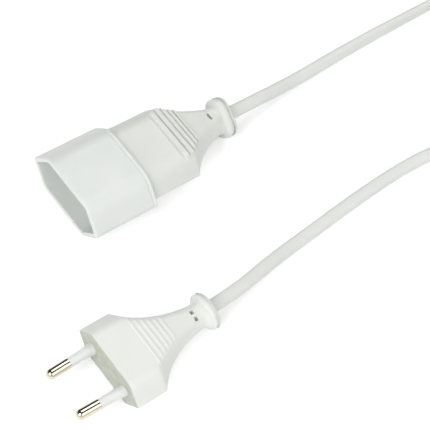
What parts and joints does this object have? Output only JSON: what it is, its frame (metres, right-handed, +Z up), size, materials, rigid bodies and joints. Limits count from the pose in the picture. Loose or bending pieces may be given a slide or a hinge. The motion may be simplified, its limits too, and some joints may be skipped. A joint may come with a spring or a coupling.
{
  "type": "extension lead",
  "caption": "Slim unearthed mains extension lead: flat pin plug, hexagonal line socket with a deep recess, ribbed soft mouldings, and flat cable with its spare length coiled.",
  "frame": {"origin": "on the surface that the lead lies on, under the middle of the socket, its shell, grip and collar together", "axes": "+X across the socket's width towards the side where the plug lies, +Y from the socket's mouth towards its cable, +Z up"},
  "size_m": [0.1022, 0.316, 0.0188],
  "materials": {
    "pin": "nickel plated brass, polished",
    "sleeve": "moulded, satin",
    "bridge": "moulded, plain",
    "brown_insulation": "PVC, satin",
    "blue_insulation": "PVC, satin",
    "copper": "bare stranded copper",
    "contact": "stamped and rolled brass",
    "plug_pvc": "soft PVC, satin",
    "grip_pvc": "soft PVC, satin",
    "shell_plastic": "hard thermoplastic, glossy",
    "carrier_plastic": "hard thermoplastic, satin",
    "cable_pvc": "soft PVC, satin"
  },
  "bodies": {
    "root": {"pin_left": "pin", "pin_right": "pin", "pin_sleeve_left": "sleeve", "pin_sleeve_right": "sleeve", "pin_bridge": "bridge", "plug_brown_wire": "brown_insulation", "plug_brown_strands": "copper", "plug_blue_wire": "blue_insulation", "plug_blue_strands": "copper", "plug_body": "plug_pvc", "socket_shell": "shell_plastic", "contact_carrier": "carrier_plastic", "carrier_cap": "carrier_plastic", "contact_left": "contact", "contact_right": "contact", "socket_brown_wire": "brown_insulation", "socket_brown_strands": "copper", "socket_blue_wire": "blue_insulation", "socket_blue_strands": "copper", "socket_grip": "grip_pvc", "cord_coil": "cable_pvc", "cord_from_socket": "cable_pvc", "cord_to_plug": "cable_pvc"}
  },
  "joints": []
}
